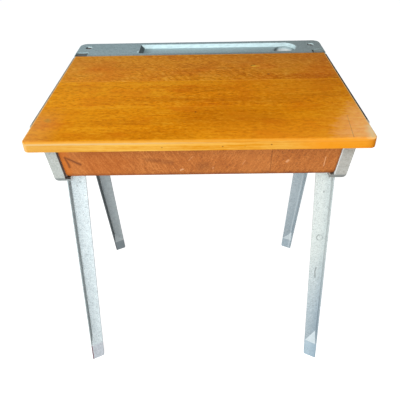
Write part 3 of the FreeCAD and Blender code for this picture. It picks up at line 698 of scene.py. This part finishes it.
@dataclass(frozen=True)
class FrameCasting(CastMetal):
    """Casting of the side frames, duller at its ears, its rear legs and its feet by painted shade, with
    painted highlights on a few lit edges and facets.
    """

    plate: Pair = (0.2828, 0.2848)
    box_bottom: float = 0.5425
    box_top: float = 0.648
    lip_top: float = 0.551
    ear_face: float = -0.183
    foot_top: float = 0.076
    rim: Pair = (0.3035, 0.3045)
    lip_end: Pair = (0.2545, 0.2535)
    fillet: Pair = (0.2778, 0.2802)
    block: Pair = (0.046, 0.042)
    shin: Pair = (0.32, 0.02)
    ring: Point = (0.2706, 0.0, 0.342)
    ring_band: Pair = (0.0064, 0.0072)
    dent: tuple[Point, ...] = ((0.269, 0.0, 0.2615), (0.2671, 0.0, 0.249), (0.269, 0.0, 0.233))
    pits: tuple[Point, ...] = ((-0.2627, -0.1132, 0.4873), (-0.2704, -0.1152, 0.4779),
                               (0.27, -0.119, 0.456))
    # These tarnish tones also paint the shade of the legs and feet.
    shade_and_tarnish_left: Rgb = tone(94, 101, 102)
    shade_and_tarnish_right: Rgb = tone(70, 102, 124)
    painted_light: Rgb = tone(224, 226, 212)
    lilac: Rgb = tone(168, 160, 178)
    blue_shade: Rgb = tone(185, 216, 234)
    rust: Rgb = tone(104, 44, 48)
    # The ear tones are painted shade under the lid.
    ear_shade_left: Rgb = tone(122, 118, 98)
    ear_shade_right: Rgb = tone(130, 112, 84)
    rim_shade: Rgb = tone(14, 9, 5)
    rim_lit: Rgb = tone(112, 98, 80)
    shade: Rgb = tone(34, 18, 10)
    seam_shade: Rgb = tone(52, 19, 2)

    def age(self) -> None:
        """Paints shade, light and tarnish on the legs, then shade and light on the ears and the rims."""
        self.age_and_paint_light_on_legs()
        self.age_and_paint_light_on_box()

    def hands(self) -> tuple[Socket, Socket]:
        """Masks of the left and of the right frame."""
        g = self.graph
        return g.remap(g.x, 0.001, -0.001), g.remap(g.x, -0.001, 0.001)

    def age_and_paint_light_on_legs(self) -> None:
        """Paints shade on the plates, the rear legs and the feet, the scuffs of the front legs, and painted
        light on the front right leg, a fillet of the rear right leg and the feet's facets.
        """
        g = self.graph
        left, right = self.hands()
        rear, front = g.remap(g.y, -0.02, 0.02), g.remap(g.y, 0.02, -0.02)
        legs = g.remap(g.z, self.box_bottom + 0.002, self.box_bottom)
        plate = g.within(g.calc("ABSOLUTE", g.x), *self.plate, 0.0004)
        low, block = g.remap(g.z, *self.shin), g.remap(g.z, *self.block)
        low_front, low_rear = g.both(low, front), g.both(low, rear)
        # Painted shade: the left plate facing away from the light, the rear legs under the box, the feet,
        # and the legs darker towards the floor.
        g.cover(self.ear_shade_left, plate, front, left, legs, 0.25)
        share = g.weigh((rear, 0.48), (plate, 0.5), (low_front, 0.12), (low_rear, 0.05),
                        (g.both(block, rear), 0.18))
        g.cover(self.shade_and_tarnish_left, share, left, legs)
        # Painted light: the front right leg paler towards its top, where more light falls.
        g.cover(self.painted_light, front, right, legs, g.remap(g.z, 0.14, 0.3), 0.4)
        # Painted shade on the right legs likewise: darker at the rear, towards the floor and towards the
        # outside of the front leg.
        graded = g.both(front, g.remap(g.x, 0.267, 0.28))
        share = g.weigh((rear, 0.28), (plate, 0.08), (front, 0.05), (low_front, 0.42), (low_rear, 0.14),
                        (graded, 0.15))
        g.cover(self.shade_and_tarnish_right, share, right, legs)
        # Painted highlight along the fillet of the rear right leg.
        g.cover(self.bright, right, rear, legs, g.within(g.x, *self.fillet, 0.001), 0.42)
        # Painted shade: the right feet's blocks a darker blue-grey.
        g.cover(self.blue_shade, block, right, g.weigh((front, 0.28), (rear, 0.12)))
        # Painted shade on the rear left foot.
        g.cover(self.shade_and_tarnish_right, block, rear, left, 0.15)
        g.cover(self.shade, block, rear, left, g.remap(g.x, -0.2815, -0.2828), 0.3)
        g.cover(self.lilac, block, front, left, 0.3)
        g.cover(self.rust, block, front, left, plate, 0.85)
        self.scuffs(g.both(front, right, legs))
        # Painted highlight on the feet's upward facets, strongest on the right feet that face the light.
        upward = g.facing(UP)
        tilted = g.most(g.both(front, g.remap(upward, 0.3, 0.4)), g.both(rear, g.remap(upward, 0.05, 0.12)))
        facet = g.both(tilted, g.remap(g.facing(SITTER), 0.6, 0.7),
                       g.remap(g.z, self.foot_top + 0.002, self.foot_top))
        share = g.weigh((g.both(right, front), 0.5), (g.both(right, rear), 0.45),
                        (g.both(left, rear), 0.12))
        g.cover(self.bright, facet, share)

    def scuffs(self, speckled: Socket) -> None:
        """Paints specks, a ring and a dent on the front legs.

        Args:
            speckled: Mask of the leg with the most specks.
        """
        g = self.graph
        spots = g.pattern((430, 430, 430), shift=(0.7, 0.4, 0.1), detail=1)
        g.cover(self.speck, speckled, g.remap(spots, 0.55, 0.7), 0.5)
        upright = (1.0, 0.0, 1.0)
        gap = g.vector("DISTANCE", g.vector("MULTIPLY", g.place, upright), self.ring)
        ring = g.both(g.within(gap, *self.ring_band, 0.0013), g.remap(g.x, 0.272, 0.267, 0.3, 0.6))
        loose = g.vector("MULTIPLY", g.wander(0.001, 90), upright)
        dent = g.most(*(g.streak(start, end, 0.0022, 0.3, loose)
                        for start, end in zip(self.dent, self.dent[1:])))
        dark = g.both(g.most(ring, g.both(dent, 0.6)), speckled)
        for x, y, z in self.pits:
            dark = g.most(dark, g.both(g.streak((x, y, z), (x, y, z + 0.001), 0.003, 0.2), 0.55))
        g.cover(self.shade_and_tarnish_left, dark)

    def beside_panel(self, x_top: float, x_low: float, width: float, soft: float) -> Socket:
        """Mask along the inner edge of an ear."""
        top, low = (x_top, self.ear_face, self.box_top), (x_low, self.ear_face, self.lip_top)
        return self.graph.streak(top, low, width, soft)

    def age_and_paint_light_on_box(self) -> None:
        """Browns the ears with painted shade and darkens the box's lowest band; paints shade on the left
        ear's inner edge, the lip's corners and the right rim, and light on the right ear's inner edge, the
        left lip's end and the left rim.
        """
        g = self.graph
        left, right = self.hands()
        reach = g.calc("ABSOLUTE", g.x)
        box = g.remap(g.z, self.box_bottom, self.box_bottom + 0.001)
        ears = g.both(box, g.remap(g.y, -0.13, -0.16, 0.5, 1.0))
        # Painted shade: the ears under the lid's overhang, the right one darker towards the top.
        g.cover(self.ear_shade_left, ears, left, 0.56)
        g.cover(self.ear_shade_right, ears, right, g.remap(g.z, 0.56, 0.64, 0.57, 0.62))
        # Darker along the box castings' lowest band.
        lowest = g.remap(g.z, self.box_bottom + 0.0075, self.box_bottom + 0.006)
        g.cover(self.shade_and_tarnish_left, box, lowest, 0.65)
        # Painted highlight along the right ear's inner edge, and painted shade along the left ear's inner
        # edge.
        g.cover(self.bright, self.beside_panel(0.2755, 0.2633, 0.0019, 0.4), 0.5)
        g.cover(self.seam_shade, self.beside_panel(-0.2758, -0.2636, 0.0026, 0.6), 0.92)
        inner = g.both(box, g.remap(g.y, -0.15, -0.16))
        corners = ((left, (0.255, 0.2655, 0.001), (0.5475, 0.5525, 0.001), 0.95),
                   (right, (0.256, 0.2615, 0.0015), (0.55, 0.5535, 0.001), 0.85))
        for hand, across, up, share in corners:
            g.cover(self.shade, hand, inner, g.within(reach, *across), g.within(g.z, *up), share)
        # Painted light on the left lip's inner end, lifting its shade.
        lip_end = g.both(g.remap(reach, *self.lip_end), g.remap(g.z, 0.5545, 0.5535))
        g.cover(self.bright, left, inner, lip_end, 0.8)
        # Painted light and shade on the rims: grey-brown on the left, lit from the left; near black on the
        # right, in the lid's shade.
        upward = g.remap(g.facing(UP), 0.1, 0.4, 0.25, 1.0)
        rim = g.both(g.remap(reach, *self.rim), g.remap(g.y, -0.176, -0.172), box, upward)
        g.cover(self.rim_lit, rim, left, 0.6)
        g.cover(self.rim_shade, rim, right)


@dataclass(frozen=True)
class RailCasting(CastMetal):
    """Casting of the rail, with painted highlights on the walls of its trough that face the sitter and the
    light.
    """

    painted_highlight: Rgb = tone(214, 238, 241)
    brown_tone: Rgb = tone(104, 96, 78)
    # grime also stands for painted shade at the trough's left end, on its end walls facing right and at the
    # inkwell's brim.
    grime: Rgb = tone(50, 60, 60)
    rim: Rgb = tone(110, 126, 130)
    gleam: Rgb = tone(246, 255, 255)
    lit_from: Point = (-0.5, -0.87, 0.0)
    trough: Pair = (-0.16, 0.25)
    front_edge: Pair = (0.166, 0.163)
    rear_edge: Pair = (0.2365, 0.2385)
    inkwell: Pair = (0.2135, 0.201)
    brim: Pair = (0.0236, 0.025)

    def age(self) -> None:
        """Browns the right end, darkens the long edges, paints highlights on the trough's lit walls, its
        floor and a glint, and paints shade at its left end and on its end walls.
        """
        g = self.graph
        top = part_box("back_rail")[1].z
        sunk = g.remap(g.z, top - 0.0004, top - 0.001)
        trough = g.both(sunk, g.within(g.x, *self.trough, 0.002), g.remap(g.y, 0.166, 0.168))
        sockets = g.both(sunk, g.remap(g.calc("ABSOLUTE", g.x), 0.27, 0.272), g.remap(g.y, 0.19, 0.192))
        walls = g.most(trough, sockets)
        level = g.both(trough, g.remap(g.facing(UP), 0.8, 0.95))
        # Browner towards the right end, and darker and browner along the front edge beside the lid.
        g.cover(self.brown_tone, g.remap(g.x, 0.0, 0.3), 0.38)
        g.cover(self.brown_tone, g.remap(g.y, 0.164, 0.1605), 0.5)
        # Darker along the front edge's middle and along the rear edge.
        g.cover(self.grime, g.remap(g.y, *self.front_edge), g.within(g.x, -0.06, 0.17, 0.06), 0.22)
        g.cover(self.grime, g.remap(g.y, *self.rear_edge), g.remap(g.x, -0.17, -0.15), 0.3)
        patchy = g.remap(g.pattern((60, 200, 200)), 0.3, 0.6, 0.65, 1.0)
        # Painted highlight on the trough's walls that face the light, and on its floor towards the rear
        # wall.
        g.cover(self.painted_highlight, walls, g.remap(g.facing(self.lit_from), 0.25, 0.6), patchy)
        g.cover(self.painted_highlight, level, g.remap(g.y, 0.18, 0.229), g.remap(g.x, 0.0, 0.2, 0.5, 0.3))
        # Painted shade on the trough's floor towards its left end.
        g.cover(self.grime, level, g.remap(g.x, -0.118, -0.146), 0.45)
        gap = g.vector("DISTANCE", g.vector("MULTIPLY", g.place, (1.0, 1.0, 0.0)), (*self.inkwell, 0.0))
        self.mark_inkwell(trough, gap)
        # Painted glint at the trough's lower left corner.
        g.cover(self.painted_highlight, g.streak((-0.1535, 0.176, top), (-0.1535, 0.186, top), 0.0026, 0.4), 0.7)
        # Painted shade on the end walls that face away from the light.
        bore = g.remap(gap, 0.0245, 0.0235, 0.95, 0.35)
        g.cover(self.grime, walls, g.remap(g.facing(RIGHT), 0.4, 0.7), bore)

    def mark_inkwell(self, trough: Socket, gap: Socket) -> None:
        """Paints the ring of the inkwell hole, painted shade on its brim and a painted highlight in its
        bore.

        Args:
            trough: Mask of the trough.
            gap: Distance from the hole's axis.
        """
        g = self.graph
        g.cover(self.rim, g.remap(gap, 0.03, 0.026), trough, g.remap(g.z, 0.6545, 0.658), 0.3)
        # Painted shade on the inkwell's brim.
        brim = g.both(g.within(gap, *self.brim, 0.0006), g.remap(g.z, 0.656, 0.658))
        g.cover(self.grime, trough, brim, g.remap(g.x, 0.232, 0.212, 0.2, 0.7))
        aside = g.calc("ABSOLUTE", g.calc("SUBTRACT", g.x, self.inkwell[0] + 0.003))
        # Painted highlight in the middle of the bore.
        g.cover(self.gleam, trough, g.remap(gap, 0.0242, 0.0236), g.remap(aside, 0.025, 0.011),
                g.remap(g.z, 0.6575, 0.6545))


@dataclass(frozen=True)
class DullSteel(Finish):
    """Plated steel gone dull, with rust in patches, and dark in front of its crest or in a slit."""

    name: str
    plate: Rgb
    rust: Rgb
    rusted: float
    metallic: float = 0.3
    crest: float = -1.0
    shaded: float = 1.0
    slit: float = 0.0
    shade: Rgb = tone(34, 33, 31)

    def layout(self) -> None:
        """Lays out the plate, its scuffs, its rust and its dark places."""
        g = self.graph
        scuffs = g.pattern((300, 900, 300))
        patches = g.pattern((160, 160, 160), detail=4, rough=0.65)
        dim = tuple(0.7 * channel for channel in self.plate)
        g.colour = g.ramp(scuffs, ((0.3, dim), (0.7, self.plate)))
        g.cover(self.rust, g.remap(patches, 0.75 - 0.5 * self.rusted, 0.9 - 0.5 * self.rusted))
        if self.crest > 0:
            g.cover(self.shade, g.remap(g.y, self.crest + 0.0006, self.crest - 0.0006), self.shaded)
        if self.slit > 0:
            g.cover(self.shade, g.within(g.x, self.slit - 0.0012, self.slit + 0.0012, 0.0005))
        g.bump(patches, 0.0001)
        g.dress(Roughness=0.45, Metallic=self.metallic, Specular_IOR_Level=0.2)


def add(name: str, data: bpy.types.ID) -> bpy.types.Object:
    """Adds an object to the scene.

    Args:
        name: Name of the object.
        data: Its mesh, lamp or camera.

    Returns:
        The object.
    """
    made = bpy.data.objects.new(name, data)
    bpy.context.scene.collection.objects.link(made)
    return made


def is_arris(edge: bmesh.types.BMEdge, width: float) -> bool:
    """Whether an edge is sharp and both its faces reach far enough from it to be rounded.

    Args:
        edge: Edge of a merged mesh.
        width: Width of the rounding.

    Returns:
        True if the edge takes the rounding.
    """
    if not edge.is_manifold or edge.calc_face_angle(0.0) < SHARP_ANGLE:
        return False
    start = edge.verts[0].co
    along = (edge.verts[1].co - start).normalized()
    for face in edge.link_faces:
        reach = max(((v.co - start) - along * along.dot(v.co - start)).length for v in face.verts)
        if reach < ARRIS_ROOM * width:
            return False
    return True


def ease_normals(mesh: bpy.types.Mesh) -> None:
    """Shades a mesh smoothly over its shallow angles, with larger faces counting for more.

    Args:
        mesh: Mesh that gets the normals.
    """
    around = [[] for _ in mesh.vertices]
    for face in mesh.polygons:
        for vertex in face.vertices:
            around[vertex].append(face)
    limit = math.cos(SMOOTH_ANGLE)
    normals = []
    for face in mesh.polygons:
        for vertex in face.vertices:
            near = [other for other in around[vertex] if other.normal.dot(face.normal) > limit]
            normals.append(sum((other.normal * other.area for other in near), Vector()).normalized())
    mesh.normals_split_custom_set(normals)


def soften(node: str, body: Body, slot: Slot, finish: Finish, width: float,
           wear: Callable[[bmesh.types.BMesh], None] | None = None) -> None:
    """Makes a copy of a CAD node with rounded arrises, which stands for the node.

    Args:
        node: Name of the CAD node.
        body: Body that the copy rides on.
        slot: Record's slot of the copy; not used.
        finish: Finish of the copy.
        width: Width of the rounding in metres.
        wear: Further shaping of the merged mesh, if any.
    """
    shape = bmesh.new()
    shape.from_mesh(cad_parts[node].data)
    bmesh.ops.remove_doubles(shape, verts=shape.verts, dist=MERGE_GAP)
    if wear:
        wear(shape)
    bmesh.ops.dissolve_limit(shape, angle_limit=FLAT_ANGLE, verts=shape.verts, edges=shape.edges)
    arrises = [edge for edge in shape.edges if is_arris(edge, width)]
    layer = shape.faces.layers.float.new(ARRIS)
    made = bmesh.ops.bevel(shape, geom=arrises, offset=width, offset_type="OFFSET", affect="EDGES",
                           segments=2, profile=0.5, material=-1, clamp_overlap=False)
    for face in made["faces"]:
        face[layer] = 1.0
    mesh = bpy.data.meshes.new(node + "_soft")
    shape.to_mesh(mesh)
    shape.free()
    ease_normals(mesh)
    piece = add(node + "_soft", mesh)
    mesh.materials.append(finish.material)
    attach(piece, body.value)
    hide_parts(node)
    log.info("%s: %d arrises rounded", node, len(arrises))


def paint(node: str, finish: Finish) -> None:
    """Gives a CAD node a finish.

    Args:
        node: Name of the CAD node.
        finish: Its finish.
    """
    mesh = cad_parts[node].data
    mesh.materials.clear()
    mesh.materials.append(finish.material)
    log.info("%s: painted", node)


@dataclass
class SideFrames:
    """The two cast side frames."""

    edge: float = 0.0006
    finish: FrameCasting = FrameCasting(
        "frame_casting", dull=tone(188, 201, 204), body=tone(210, 222, 225), bright=tone(230, 240, 242),
        speck=tone(146, 154, 154), speckled=0.6)

    def build(self) -> None:
        """Softens both castings."""
        for node in ("side_frame_left", "side_frame_right"):
            soften(node, Body.FRAME, Slot.CAST, self.finish, self.edge)


@dataclass
class PenRail:
    """The cast rail with its bolts, nuts and hinge pins."""

    edge: float = 0.0008
    finish: RailCasting = RailCasting(
        "rail_casting", dull=tone(134, 157, 163), body=tone(152, 175, 180), bright=tone(170, 193, 197),
        speck=tone(84, 94, 92), speckled=0.4)
    bolts: DullSteel = DullSteel("bolt_steel", tone(120, 104, 96), tone(74, 42, 30), rusted=0.7)
    pins: DullSteel = DullSteel("pin_steel", tone(150, 150, 148), tone(84, 60, 46), rusted=0.25)

    def build(self) -> None:
        """Softens the rail and paints what is in it."""
        soften("back_rail", Body.FRAME, Slot.CAST, self.finish, self.edge)
        for node, finish in (("rail_bolts", self.bolts), ("rail_nuts", self.bolts),
                             ("hinge_pin_left", self.pins), ("hinge_pin_right", self.pins)):
            paint(node, finish)


@dataclass
class BookBox:
    """The plywood panels of the book box."""

    edge: float = 0.0006
    front: StainedPly = StainedPly("front_ply", slant=60, turned=-60, marked=True)
    rest: StainedPly = StainedPly("box_ply", slant=4, turned=2, marked=False)
    screws: DullSteel = DullSteel("screw_steel", tone(150, 146, 138), tone(92, 62, 44), rusted=0.35)

    def build(self) -> None:
        """Softens the panels and paints the screws."""
        for node, finish in (("front_panel", self.front), ("back_panel", self.rest),
                             ("bottom_panel", self.rest)):
            soften(node, Body.FRAME, Slot.PLY, finish, self.edge)
        paint("bottom_screws", self.screws)


@dataclass
class Lid:
    """The boarded lid with its cleats, hinge straps and screws."""

    groove: float = 0.0004
    cleat_edge: float = 0.0008
    nose: float = 0.0065
    nose_steps: int = 6
    boards: tuple[BeechVarnish, ...] = (
        BeechVarnish("beech_front", Board.FRONT, offset=0.31, slant=0.6, figure=0.05),
        BeechVarnish("beech_middle", Board.MIDDLE, offset=0.31, slant=0.6, figure=0.05, calm=0.2,
                     span=0.095, pored=0.23, deep=tone(211, 112, 0), body=tone(246, 149, 4),
                     pale=tone(255, 177, 42)),
        BeechVarnish("beech_rear", Board.REAR, offset=2.9, slant=1.5, figure=0.5, faded=0.35, calm=0.0,
                     span=0.09, pored=0.38, deep=tone(207, 110, 2), body=tone(244, 150, 10),
                     pale=tone(255, 181, 64)),
    )
    cleats: StainedPly = StainedPly("cleat_beech", slant=90, turned=90, marked=False)
    # The left strap's pale plate is a painted highlight on its knuckle's crest; the dark in front of each
    # crest and the right strap's slit are painted shade.
    straps: tuple[DullSteel, ...] = (
        DullSteel("left_strap_steel", tone(190, 202, 204), tone(110, 84, 64), rusted=0.1, metallic=0.1,
                  crest=0.174, shaded=0.85),
        DullSteel("right_strap_steel", tone(140, 150, 146), tone(90, 74, 60), rusted=0.3, metallic=0.1,
                  crest=0.17, shaded=0.4, slit=0.2797),
    )
    screws: DullSteel = DullSteel("lid_screw_steel", tone(160, 156, 148), tone(92, 62, 44), rusted=0.3)

    def build(self) -> None:
        """Softens the boards and the cleats and paints the ironwork."""
        for finish in self.boards:
            wear = self.round_nose if finish.board is Board.FRONT else None
            soften(finish.board.value, Body.LID, Slot.BEECH, finish, self.groove, wear)
        for side, strap in zip(("left", "right"), self.straps):
            soften("lid_cleat_" + side, Body.LID, Slot.BEECH, self.cleats, self.cleat_edge)
            paint("hinge_strap_" + side, strap)
        for node in ("strap_screws", "cleat_screws"):
            paint(node, self.screws)

    def round_nose(self, shape: bmesh.types.BMesh) -> None:
        """Rounds the upper front arris of the front board further, as arms have worn it.

        Args:
            shape: Merged mesh of the front board.
        """
        axis = Vector((0.0, LOW.y + self.nose, HIGH.z - self.nose))
        for step in range(self.nose_steps + 1):
            angle = math.pi / 2 * step / self.nose_steps
            bmesh.ops.bisect_plane(shape, geom=[*shape.verts, *shape.edges, *shape.faces], dist=MERGE_GAP,
                                   plane_co=axis, plane_no=(0.0, math.sin(angle), math.cos(angle)))
        for vertex in shape.verts:
            away = Vector((0.0, vertex.co.y - axis.y, vertex.co.z - axis.z))
            if away.y < MERGE_GAP and away.z > -MERGE_GAP and away.length > self.nose:
                near = axis + away * (self.nose / away.length)
                vertex.co.y, vertex.co.z = near.y, near.z


@dataclass(frozen=True)
class SoftLamp:
    """Large square lamp aimed at the desk, its power the share of plain daylight that it adds."""

    name: str
    place: Point
    width: float
    share: float

    def build(self, target: Vector) -> None:
        """Hangs the lamp.

        Args:
            target: Point that it faces.
        """
        lamp = bpy.data.lights.new(self.name, "AREA")
        lamp.size = self.width
        away = Vector(self.place) - target
        lamp.energy = self.share * math.pi ** 2 * away.length_squared
        turn = away.to_track_quat("Z", "Y").to_matrix().to_4x4()
        add(self.name, lamp).matrix_world = Matrix.Translation(self.place) @ turn


@dataclass
class Studio:
    """White studio: floor, lamps, surroundings and the camera."""

    floor_size: float = 24.0
    floor_glow: float = 0.84
    floor_tone: float = 0.55
    floor_bounce: float = 0.8
    surround: Rgb = (0.27, 0.28, 0.29)
    lamps: tuple[SoftLamp, ...] = (
        SoftLamp("key", place=(-0.25, -2.0, 1.6), width=1.1, share=0.72),
        SoftLamp("window", place=(-1.8, -0.9, 1.2), width=1.0, share=0.36),
    )
    image_width: float = 400.0
    lens_length: float = 445.0
    lens_axis: Pair = (200.0, 160.0)
    camera_place: Point = (0.011, -0.8882, 1.0664)
    camera_pitch: float = -34.14
    camera_yaw: float = -0.83
    camera_roll: float = -1.23

    def build(self) -> None:
        """Builds the whole studio."""
        self.lay_floor()
        for lamp in self.lamps:
            lamp.build((LOW + HIGH) / 2)
        self.surroundings()
        self.camera()
        bpy.context.scene.view_settings.view_transform = "Standard"

    def lay_floor(self) -> None:
        """Lays a white floor that keeps a faint shadow."""
        shape = bmesh.new()
        bmesh.ops.create_grid(shape, x_segments=1, y_segments=1, size=self.floor_size / 2)
        mesh = bpy.data.meshes.new("studio_floor")
        shape.to_mesh(mesh)
        shape.free()
        floor = add("studio_floor", mesh)
        g = Graph(bpy.data.materials.new("white_floor"))
        g.colour = (self.floor_tone,) * 3
        g.dress(Roughness=1.0, Specular_IOR_Level=0.0, Emission_Color=WHITE,
                Emission_Strength=self.floor_glow)
        plain = g.node("BsdfDiffuse", {"Color": (self.floor_bounce,) * 3})
        g.show(g.shader.outputs[0], plain.outputs[0], "Material Output")
        mesh.materials.append(g.owner)

    def surroundings(self) -> None:
        """Sets soft light from all round, seen as plain white."""
        g = Graph(bpy.data.worlds.new("studio"), "Background")
        g.feed(g.shader.inputs["Color"], self.surround)
        white = g.node("Background", {"Color": WHITE})
        g.show(white.outputs[0], g.shader.outputs[0], "World Output")
        bpy.context.scene.world = g.owner

    def camera(self) -> None:
        """Sets the camera at the photograph's place and angle."""
        data = bpy.data.cameras.new("camera")
        data.lens = self.lens_length / self.image_width * data.sensor_width
        data.shift_x = 0.5 - self.lens_axis[0] / self.image_width
        data.shift_y = self.lens_axis[1] / self.image_width - 0.5
        place = Matrix.Translation(self.camera_place)
        turns = ((-self.camera_yaw, "Z"), (90 + self.camera_pitch, "X"), (self.camera_roll, "Z"))
        for angle, axis in turns:
            place = place @ Matrix.Rotation(math.radians(angle), 4, axis)
        camera = bpy.context.scene.camera = add("camera", data)
        camera.matrix_world = place


def main() -> None:
    """Builds the desk's sub-assemblies in order, then the studio."""
    logging.basicConfig(level=logging.INFO, format="%(name)s %(message)s")
    for assembly in (SideFrames(), PenRail(), BookBox(), Lid(), Studio()):
        assembly.build()
        log.info("%s built", type(assembly).__name__)


if __name__ == "__main__":
    main()
